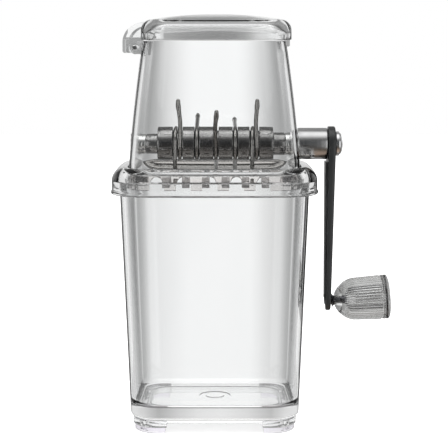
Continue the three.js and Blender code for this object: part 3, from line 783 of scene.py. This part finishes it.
def tube(line, sides=18, cap_steps=6):
    """A bmesh of a rod along (point, radius) pairs, with round ends."""
    sections = []
    last = len(line) - 1
    for k in range(cap_steps):
        angle = (1 - k / cap_steps) * math.pi / 2
        sections.append((0, -math.sin(angle), math.cos(angle)))
    sections += [(i, 0, 1) for i in range(last + 1)]
    for k in range(1, cap_steps + 1):
        angle = k / cap_steps * math.pi / 2
        sections.append((last, math.sin(angle), math.cos(angle)))
    rounds = []
    for i, ahead, share in sections:
        point, radius = line[i]
        direction = (line[min(i + 1, last)][0] - line[max(i - 1, 0)][0]).normalized()
        side = direction.cross(Vector((1, 0, 0))).normalized()
        over = side.cross(direction)
        centre = point + direction * ahead * radius
        size = max(radius * share, 0.02)
        turns = [2 * math.pi * k / sides for k in range(sides)]
        section = [(size * math.cos(a), size * math.sin(a)) for a in turns]
        rounds.append([tuple(centre + side * u + over * v) for u, v in section])
    return skin(rounds)


def make_claws():
    for i, (x, bent) in enumerate(zip(claw_places(), CLAW_TIPS), start=1):
        bm = moved(tube(claw_line(*bent)), x=x, z=SHAFT.z)
        new_piece(f"claw_{i}_rod", bm, "crank", CLAW_STEEL, [f"claw_{i}"], sharp=40)


def make_hub():
    profile = ring_profile(HUB.x0, HUB.x1, HUB.z1 - SHAFT.z, JOURNAL + FIT, 1.0)
    steel("hub", profile, "crank", "brushed_steel", BRUSHED, "crank_hub", sides=72, closed=True)


def make_cap_nut():
    """A flange, a waist and a domed cap."""
    x0, x1, r = NUT.x0, NUT.x1, NUT.z1 - SHAFT.z
    waist = x0 + 2.2
    profile = rounded([(x0, 0.0, 0), (x0, r, 0.5), (x0 + 2.0, r, 0.4), (waist, r * 0.9, 0)], steps=4)
    for i in range(1, 13):
        angle = i / 12 * math.pi / 2
        profile.append((waist + (x1 - waist) * math.sin(angle), r * 0.9 * math.cos(angle)))
    steel("nut", profile, "crank", "chrome_nut", CHROME, "cap_nut")


ARM_LENGTH, ARM_EYE, ARM_FOOT, ARM_LEAN = 98.2, 10.7, 6.2, 1.9
ARM_FACE = 74.3
ARM_PLATE = 4.6
ARM_RIB = 1.6
ARM_INNER = ARM_LEAN - ARM_PLATE - ARM_RIB
HEAD_SUNK = 1.9
KNOB_CANT = 4


def lean(bm):
    """Leans the arm's outer face towards the container, and leaves its inner face upright."""
    inner = (ARM_FACE - ARM_PLATE - ARM_RIB) * MM + AXIS_X
    for vert in bm.verts:
        share = (vert.co.x - inner) / ((ARM_PLATE + ARM_RIB) * MM)
        vert.co.x += share * ARM_LEAN * min(vert.co.z / MM, 0) / ARM_LENGTH * MM
    return bm


def arm_link(eye, foot, x0, x1, soft_left, soft_right):
    """A tapered link with round ends, upright in the YZ plane, with rounded edges on its two faces."""
    tilt = math.asin((eye - foot) / ARM_LENGTH)
    steps = 28
    edge = []
    for i in range(steps + 1):
        edge.append((eye, 0, tilt + (math.pi - 2 * tilt) * i / steps))
    for i in range(steps + 1):
        edge.append((foot, -ARM_LENGTH, math.pi - tilt + (math.pi + 2 * tilt) * i / steps))

    def level(x, shrink):
        made = []
        for radius, z, a in edge:
            made.append((x, (radius - shrink) * math.cos(a), z + (radius - shrink) * math.sin(a)))
        return made

    rounds = []
    for face, soft, sign in ((x0, soft_left, 1), (x1, soft_right, -1)):
        turn = [k / 5 * math.pi / 2 for k in range(6)]
        rim = [level(face + sign * soft * (1 - math.sin(a)), soft * (1 - math.cos(a))) for a in turn]
        rounds += rim[::-1] if sign > 0 else rim
    return skin(rounds)


def make_arm():
    """A tapered plate with a rib on its inner face, bored for the shaft and for the knob's spindle."""
    plate = arm_link(ARM_EYE, ARM_FOOT, ARM_FACE - ARM_PLATE, ARM_FACE, 0.5, 1.1)
    rib_left = ARM_FACE - ARM_PLATE - ARM_RIB
    rib = arm_link(ARM_EYE - 3, ARM_FOOT - 2, rib_left, ARM_FACE - 1, 0.9, 0.3)
    under_hub = block(rib_left - 3, ARM_FACE - ARM_PLATE, -20, 20, SHAFT.z - HUB.z1 - 1.2, 20)
    rib = combined("DIFFERENCE", rib, under_hub)
    bore = turned([(60, JOURNAL + FIT), (90, JOURNAL + FIT)], 48)
    start, seat, end = ARM_INNER - 1, ARM_INNER + HEAD_SUNK, 6
    pin_bore = turned([(start, 0.1), (start, 4.3), (seat, 4.3), (seat, 2.8), (end, 2.8), (end, 0.1)], 40)
    arm = combined("UNION", lean(plate), lean(rib))
    arm = combined("DIFFERENCE", arm, bore, on_spindle(pin_bore, z=-ARM_LENGTH))
    new_piece("arm", moved(arm, z=SHAFT.z), "crank", BLACK, ["crank_arm"], sharp=50)


# ---- knob

KNOB = SimpleNamespace(start=2.4, length=36.8, nose=3.4, r=14.1, cap=3.8, cap_face=4)
KNOB_WALL = 2.4
RIBS, RIB_DEPTH = 42, 0.9
SPINDLE_R = 2.5


def on_spindle(bm, z=SHAFT.z - ARM_LENGTH):
    """Puts a body turned about X onto the knob's canted axis, x = 0 at the arm's outer face."""
    return moved(rotated(bm, -KNOB_CANT, "Y"), x=ARM_FACE - ARM_LEAN, z=z)


def knob_radius(x):
    k = KNOB
    t = min(max((x - k.start) / (k.length - k.start), 0), 1)
    swell = math.sin(min(t / 0.36, 1) * math.pi / 2) ** 0.62
    return k.nose + (k.r - 1.3 - k.nose) * swell + 1.3 * t


def make_spindle():
    """The spindle: its domed head in the arm, its flange outside the arm, and its rod through the knob."""
    seat = ARM_INNER + HEAD_SUNK - 0.1
    end = KNOB.length - KNOB.cap
    near = KNOB.start - 0.3
    rod = SPINDLE_R
    profile = [(seat - 1.7, 0.0), (seat - 1.65, 1.4), (seat - 1.3, 2.7), (seat - 0.7, 3.7), (seat, 4.0)]
    profile += [(seat, rod), (0.6, rod), (0.6, 4.3), (0.75, 4.4), (1.1, 3.9), (1.6, 3.1), (near, 3.3)]
    profile += [(near, rod), (end - 0.4, rod), (end, rod - 0.4), (end, 0.0)]
    bm = on_spindle(turned(profile, 48))
    new_piece("spindle", bm, "crank", DARK_STEEL, ["knob_spindle"], sharp=28)


def grip_profile():
    """(x, radius, ribbed share) points round the grip's section: outside, then the ribbed inside."""
    k = KNOB
    bore = SPINDLE_R + 0.35
    end = k.length - k.cap - 0.15
    outside = [(k.start, bore, 0), (k.start, k.nose - 0.3, 0)]
    steps = 40
    for i in range(1, steps + 1):
        x = k.start + (end - k.start) * (i / steps) ** 1.7
        outside.append((x, knob_radius(x), 0))
    ring = end - 1.6
    groove = [(x, r - (0.45 if ring - 0.3 < x < ring + 0.5 else 0), share) for x, r, share in outside]
    inside = []
    first = k.start + 5
    for i in range(steps + 1):
        x = end - 0.2 - (end - 0.2 - first) * (1 - (1 - i / steps) ** 1.7)
        t = (x - first) / (end - first)
        share = min(max((t - 0.06) / 0.1, 0), 1)
        inside.append((x, max(knob_radius(x - 1.2) - KNOB_WALL, bore + 0.4), share))
    inside.append((first, bore, 0))
    return groove + [(end, knob_radius(end) - KNOB_WALL + 0.5, 0)] + inside


def ribbed(profile, sides=480):
    """A body turned from (x, radius, ribbed share) points, with ribs along it where the share isn't 0."""
    rounds = []
    for x, radius, share in profile:
        row = []
        for i in range(sides):
            a = 2 * math.pi * i / sides
            wave = 0.5 + 0.5 * math.cos(RIBS * a)
            depth = RIB_DEPTH * share * (1 - wave**0.7)
            row.append((x, (radius - depth) * math.cos(a), (radius - depth) * math.sin(a)))
        rounds.append(row)
    return skin(rounds, closed=True)


def make_knob():
    """The ribbed grip and the cap that closes its end."""
    grip = on_spindle(ribbed(grip_profile()))
    new_piece("grip", grip, "knob", CLEAR_KNOB, ["knob_grip"])
    x0, x1, r, face = KNOB.length - KNOB.cap, KNOB.length, KNOB.r, KNOB.r - KNOB.cap_face
    recess, recess_r = x0 + 1.2, SPINDLE_R + 1
    corners = [(recess, 0.0, 0), (recess, recess_r, 0.2), (x0, recess_r, 0.2), (x0, r - 0.5, 0.5)]
    corners += [(x1 - 1.3, r, 1.6), (x1 - 0.2, face + 1, 1.5), (x1, face - 2, 0.6), (x1, 0.0, 0)]
    cap = on_spindle(turned(rounded(corners, steps=6), 120))
    new_piece("end_cap", cap, "knob", CLEAR_KNOB, ["knob_end_cap"])


# ---- the set

LENS = 112.5
CAMERA = (5.72, -864.6, 230.7)
CAMERA_DOWN = 7.04
SOFTBOX = SimpleNamespace(position=(0, -200, 900), aim=(0, 0, 120), width=900, height=700, power=9)
WHITE = (1, 1, 1, 1)

FLOOR_HALF = 3000
FLOOR_GLOW = 0.62
# Painted shade: the floor's grey for a ray through clear plastic.
FLOOR_SHADE_THROUGH_PLASTIC = (0.72, 0.72, 0.72, 1)
CARD_HALF = 130  # half the width that a card's gradient covers
CARD_REACH = 260  # half the width of the cards themselves
CARD_DEPTH = 60  # how far behind the axis they stand
CARD_GAIN = 1.08
CONTAINER_CARD = SimpleNamespace(
    half=90, gain=1.22, under=((-80, 0.12), (62, 0.12)), rear=((45, 0.2), (45, 12.5))
)

# What shows through each clear part, as painted shade on glowing cards behind it: (x at the axis,
# brightness).
HOPPER_PAINTED_SHADE = (
    (-110, 0.8), (-65, 0.4), (-45, 0.36), (-38, 0.47), (-33, 0.6), (-28, 0.74), (-23, 0.84), (-18, 0.93),
    (-13, 0.98), (14, 0.98), (19, 0.93), (24, 0.83), (29, 0.69), (34, 0.55), (39, 0.44), (45, 0.36),
    (65, 0.4), (110, 0.8),
)
COLLAR_PAINTED_SHADE = (
    (-110, 1.0), (-70, 0.85), (-58, 0.45), (-30, 0.42), (0, 0.45), (30, 0.5), (58, 0.45), (70, 0.85),
    (110, 1.0),
)
CUP_PAINTED_SHADE = (
    (-90, 0.85), (-62, 0.7), (-56, 0.36), (-50, 0.46), (-46, 0.6), (-42, 0.74), (-37, 0.85), (-25, 0.93),
    (-17, 0.98), (22, 0.98), (27, 0.9), (31, 0.82), (35, 0.76), (40, 0.7), (45, 0.6), (50, 0.46), (56, 0.36),
    (62, 0.7), (90, 0.85),
)
# Painted reflection: the greys that rays mirrored inside the container's plastic see on the cup card.
CUP_PAINTED_REFLECTION = (
    (-92, 0.9), (-78, 0.5), (-66, 0.24), (-46, 0.3), (-40, 0.36), (-32, 0.45), (-22, 0.62), (-10, 0.76),
    (5, 0.8), (20, 0.7), (30, 0.55), (37, 0.42), (45, 0.34), (66, 0.25), (78, 0.5), (92, 0.9),
)
LID_PAINTED_SHADE = (
    (-44, 0.85), (-38, 0.75), (-33, 0.42), (-20, 0.33), (0, 0.28), (12, 0.3), (20, 0.42), (27, 0.7),
    (40, 0.85), (60, 0.85),
)
KNOB_PAINTED_SHADE = ((72, 0.35), (92, 0.5), (112, 0.35))

# What steel mirrors, by how far a ray points up: in the open, and inside the hopper.
OPEN_HEIGHTS = (
    (-1, (0.4, 0.31, 0.25)), (-0.9, (0.4, 0.31, 0.25)), (-0.7, (0.16, 0.13, 0.105)),
    (-0.45, (0.06, 0.055, 0.05)), (0.25, (0.05, 0.055, 0.06)), (0.5, 0.12), (0.68, 0.3), (0.85, 1.0),
    (0.95, 1.4), (1, 1.4),
)
INSIDE_HEIGHTS = (
    (-1, (0.7, 0.67, 0.64)), (-0.9, (0.5, 0.475, 0.45)), (-0.7, (0.22, 0.205, 0.19)),
    (-0.45, (0.09, 0.083, 0.075)), (0.25, (0.08, 0.085, 0.09)), (0.5, 0.2), (0.68, 0.5), (0.85, 1.7),
    (0.95, 2.4), (1, 2.4),
)


def place_camera():
    data = bpy.data.cameras.new("camera")
    data.lens = LENS
    data.sensor_width = 36
    camera = added("camera", data)
    camera.location = place(*CAMERA)
    camera.rotation_euler = (math.radians(90 - CAMERA_DOWN), 0, 0)
    bpy.context.scene.camera = camera


def place_softbox():
    """A soft light from above that no mirroring or clear surface shows."""
    data = bpy.data.lights.new("softbox_top", "AREA")
    data.shape = "RECTANGLE"
    data.size, data.size_y = SOFTBOX.width * MM, SOFTBOX.height * MM
    data.energy = SOFTBOX.power
    light = added("softbox_top", data)
    light.location = place(*SOFTBOX.position)
    direction = place(*SOFTBOX.aim) - light.location
    light.rotation_euler = direction.to_track_quat("-Z", "Y").to_euler()
    for kind in ("camera", "glossy", "transmission"):
        setattr(light, f"visible_{kind}", False)


def behind(x, z, y):
    """Where the line of sight through (x, 0, z) meets the upright plane at depth y."""
    cx, cy, cz = CAMERA
    reach = (y - cy) / -cy
    return cx + (x - cx) * reach, y, cz + (z - cz) * reach


def sheet(name, corners, material, spots=((0, 0), (1, 0), (1, 1), (0, 1))):
    """A flat four-sided object. The spots are its corners' places in its gradient."""
    bm = bmesh.new()
    bm.faces.new([bm.verts.new(place(*corner)) for corner in corners])
    uv = bm.loops.layers.uv.new("uv")
    for face in bm.faces:
        for loop, spot in zip(face.loops, spots):
            loop[uv].uv = spot
    mesh = mesh_of(name, bm)
    mesh.materials.append(material)
    return added(name, mesh)


def panel(name, corners, material, spots):
    """A stage card of painted shade that only a ray through clear plastic sees."""
    card = sheet(name, corners, material, spots)
    for kind in ("camera", "diffuse", "glossy", "shadow"):
        setattr(card, f"visible_{kind}", False)


def fill(tree, sockets, values):
    """Sets each socket to its value, or links it to its value where that's another socket."""
    for socket, value in zip(sockets, values):
        if isinstance(value, (int, float, tuple)):
            socket.default_value = value
        else:
            tree.links.new(value, socket)


def maths(tree, operation, first, second):
    node = tree.nodes.new("ShaderNodeMath")
    node.operation = operation
    fill(tree, node.inputs, (first, second))
    return node.outputs[0]


def blended(tree, kind, factor, first, second):
    mixed = tree.nodes.new("ShaderNodeMix")
    mixed.data_type = "RGBA"
    mixed.blend_type = kind
    fill(tree, (mixed.inputs[0], mixed.inputs[6], mixed.inputs[7]), (factor, first, second))
    return mixed.outputs[2]


def mirrored(tree):
    """1 for a ray that has been mirrored on its way, and 0 for one that has only passed through plastic."""
    path = tree.nodes.new("ShaderNodeLightPath")
    return maths(tree, "GREATER_THAN", path.outputs["Glossy Depth"], 0.5)


def in_the_open(tree):
    """1 for a ray that has passed through no plastic."""
    path = tree.nodes.new("ShaderNodeLightPath")
    return maths(tree, "LESS_THAN", path.outputs["Transmission Depth"], 0.5)


def off_steel(tree):
    """1 for a mirrored ray that has crossed no surface of plastic, or four and more as one does off the steel
    inside the hopper. 0 for any other ray."""
    path = tree.nodes.new("ShaderNodeLightPath")
    through_walls = maths(tree, "GREATER_THAN", path.outputs["Transmission Depth"], 3.5)
    return maths(tree, "MULTIPLY", mirrored(tree), maths(tree, "ADD", in_the_open(tree), through_walls))


def shaders_mixed(tree, factor, first, second):
    mixed = tree.nodes.new("ShaderNodeMixShader")
    fill(tree, mixed.inputs, (factor, first, second))
    return mixed.outputs[0]


def hide_from_steel(tree, shader, output):
    """Lets a ray off steel pass through a stage surface, so that steel mirrors only the world."""
    clear = tree.nodes.new("ShaderNodeBsdfTransparent")
    tree.links.new(shaders_mixed(tree, off_steel(tree), shader, clear.outputs[0]), output)


def glow(name, stops, when_mirrored=(), strength=CARD_GAIN):
    """An unlit card that glows with painted shade in greys by (x, brightness) stops, and with a painted
    reflection for mirrored rays where others are given.
    """
    material = bpy.data.materials.new(name)
    material.use_nodes = True
    tree = material.node_tree
    tree.nodes.clear()
    out = tree.nodes.new("ShaderNodeOutputMaterial")
    emit = tree.nodes.new("ShaderNodeEmission")
    emit.inputs["Strength"].default_value = strength
    coords = tree.nodes.new("ShaderNodeTexCoord")
    split = tree.nodes.new("ShaderNodeSeparateXYZ")
    tree.links.new(coords.outputs["UV"], split.inputs[0])
    across_it = split.outputs["X"]
    colour = colour_ramp(tree, across_it, across_greys(stops))
    if when_mirrored:
        other = colour_ramp(tree, across_it, across_greys(when_mirrored))
        colour = blended(tree, "MIX", mirrored(tree), colour, other)
    tree.links.new(colour, emit.inputs["Color"])
    hide_from_steel(tree, emit.outputs[0], out.inputs["Surface"])
    return material


def across_card(x):
    return (x + CARD_HALF) / (2 * CARD_HALF)


def across_greys(stops):
    return [(across_card(x), grey) for x, grey in stops]


def card_behind(name, x0, x1, z0, z1, y, stops, when_mirrored=()):
    """A card of painted shade that fills x0 to x1 and z0 to z1 in the picture, both measured at the
    container's axis.
    """
    corners = [behind(x, z, y) for x, z in ((x0, z0), (x1, z0), (x1, z1), (x0, z1))]
    spots = [(across_card(x), v) for x, v in ((x0, 0), (x1, 0), (x1, 1), (x0, 1))]
    panel(name, corners, glow(name, stops, when_mirrored), spots)


def floor_material():
    """A light floor, with an even grey of painted shade for a ray through clear plastic."""
    n = Nodes("studio_floor")
    n.tint(n.noise(30, detail=3), (0.3, (0.88, 0.88, 0.88)), (0.7, (0.92, 0.92, 0.92)))
    n.set(roughness=0.6, emission_color=WHITE, emission_strength=FLOOR_GLOW)
    path = n.add("ShaderNodeLightPath")
    grey = n.add("ShaderNodeEmission")
    grey.inputs["Color"].default_value = FLOOR_SHADE_THROUGH_PLASTIC
    either = shaders_mixed(n.tree, path.outputs["Is Transmission Ray"], n.shader.outputs[0], grey.outputs[0])
    hide_from_steel(n.tree, either, n.output.inputs["Surface"])
    return n.material


def make_floor():
    corners = [(x * FLOOR_HALF, y * FLOOR_HALF, 0) for x, y in ((-1, -1), (1, -1), (1, 1), (-1, 1))]
    piece = sheet("floor", corners, floor_material())
    piece.visible_glossy = False


def make_container_cards():
    """The cards of painted shade seen through the container's floor: one on the table and one upright behind
    the container.
    """
    c = CONTAINER_CARD
    material = glow("container_shade_glow", CUP_PAINTED_SHADE, strength=c.gain)
    ends = ((-c.half, 0), (c.half, 0), (c.half, 1), (-c.half, 1))
    for name, edges in (("under_shade_card", c.under), ("rear_shade_card", c.rear)):
        corners = [(x, *edges[v]) for x, v in ends]
        panel(name, corners, material, [(across_card(x), v) for x, v in ends])


def make_stage():
    make_floor()
    make_container_cards()
    # Glowing cards that paint the shade seen through the hopper, the collar, the container, the lid and the
    # knob.
    for name, z0, z1, stops, when_mirrored in (
        ("hopper_shade_card", 163, 239, HOPPER_PAINTED_SHADE, ()),
        ("collar_shade_card", 148, 163, COLLAR_PAINTED_SHADE, ()),
        ("cup_shade_card", 16, 148, CUP_PAINTED_SHADE, CUP_PAINTED_REFLECTION),
    ):
        card_behind(name, -CARD_REACH, CARD_REACH, z0, z1, CARD_DEPTH, stops, when_mirrored)
    card_behind("lid_shade_card", -44, 60, 239.3, 300, CARD_DEPTH, LID_PAINTED_SHADE)
    card_behind("knob_shade_card", 72, 112, 57, 97, CARD_DEPTH / 2, KNOB_PAINTED_SHADE)


def directional(tree, axis, stops):
    """Colour by direction: (component of the direction along the axis, colour) stops."""
    coords = tree.nodes.new("ShaderNodeTexCoord")
    split = tree.nodes.new("ShaderNodeSeparateXYZ")
    spread = tree.nodes.new("ShaderNodeMapRange")
    spread.inputs["From Min"].default_value = -1
    tree.links.new(coords.outputs["Generated"], split.inputs[0])
    tree.links.new(split.outputs[axis], spread.inputs["Value"])
    return colour_ramp(tree, spread.outputs["Result"], [((part + 1) / 2, colour) for part, colour in stops])


def around_steel(tree):
    """What steel mirrors: dark level with it, with bright strips to the front left and right, a bright top,
    and a back that is brightest just above level."""
    height = blended(tree, "MIX", in_the_open(tree), directional(tree, "Z", INSIDE_HEIGHTS),
                     directional(tree, "Z", OPEN_HEIGHTS))
    level = directional(tree, "Z", [(-0.6, 0.0), (-0.35, 1.0), (0.3, 1.0), (0.5, 0.0)])
    strips = directional(tree, "X", [(-0.97, 0.05), (-0.85, 0.9), (-0.3, 0.9), (-0.16, 0.0),
                                     (0.16, 0.0), (0.3, 0.9), (0.85, 0.9), (0.97, 0.05)])
    height = blended(tree, "ADD", 1.0, height, blended(tree, "MULTIPLY", 1.0, strips, level))
    depth = directional(tree, "Y", [(-1, 1.0), (0, 1.0), (0.12, 0.7), (0.3, 0.3), (0.4, 0.15)])
    front = blended(tree, "MULTIPLY", 1.0, height, depth)
    back = directional(tree, "Z", [(-0.3, 0.4), (-0.06, 0.45), (0.03, 0.9), (0.26, 0.85),
                                   (0.4, 0.3), (0.7, 0.3), (1, 0.9)])
    towards_back = directional(tree, "Y", [(0.4, 0.0), (0.6, 1.0)])
    return blended(tree, "MIX", towards_back, front, back)


def around_plastic(tree, steel):
    """What shows through clear plastic: dark towards the camera, bright straight sideways and straight back,
    and above, what steel mirrors."""
    around = directional(tree, "Y", [(-1, 0.2), (-0.75, 0.22), (-0.3, 0.3), (-0.22, 0.38), (-0.18, 0.8),
                                     (0.18, 0.8), (0.25, 0.4), (0.6, 0.45), (0.8, 0.9), (0.9, 1.0)])
    upwards = directional(tree, "Z", [(0.3, 0.0), (0.42, 1.0)])
    return blended(tree, "MIX", upwards, around, steel)


def make_world():
    """White to the camera, and other surroundings for steel and for clear plastic."""
    world = bpy.data.worlds.new("studio")
    bpy.context.scene.world = world
    world.use_nodes = True
    tree = world.node_tree
    path = tree.nodes.new("ShaderNodeLightPath")
    steel = around_steel(tree)
    clear = around_plastic(tree, steel)
    seen = blended(tree, "MIX", path.outputs["Is Transmission Ray"], WHITE, clear)
    seen = blended(tree, "MIX", off_steel(tree), seen, steel)
    tree.links.new(seen, tree.nodes["Background"].inputs["Color"])
    world.cycles.sampling_method = "NONE"


def light_the_set():
    make_world()
    place_softbox()
    bpy.context.scene.view_settings.view_transform = "Standard"


make_container()
make_feet()
make_skirt()
make_collar()
make_hopper()
make_hinge()
make_lid()
soften("breaker_comb", 0.35, CLEAR_COMB)
for side in ("left", "right"):
    soften(f"comb_screw_{side}", 0.2, DARK_STEEL)
    soften(f"comb_nut_{side}", 0.3, DARK_STEEL)
make_shaft()
make_roller()
make_claws()
make_hub()
make_cap_nut()
make_arm()
make_spindle()
make_knob()
make_stage()
light_the_set()
place_camera()
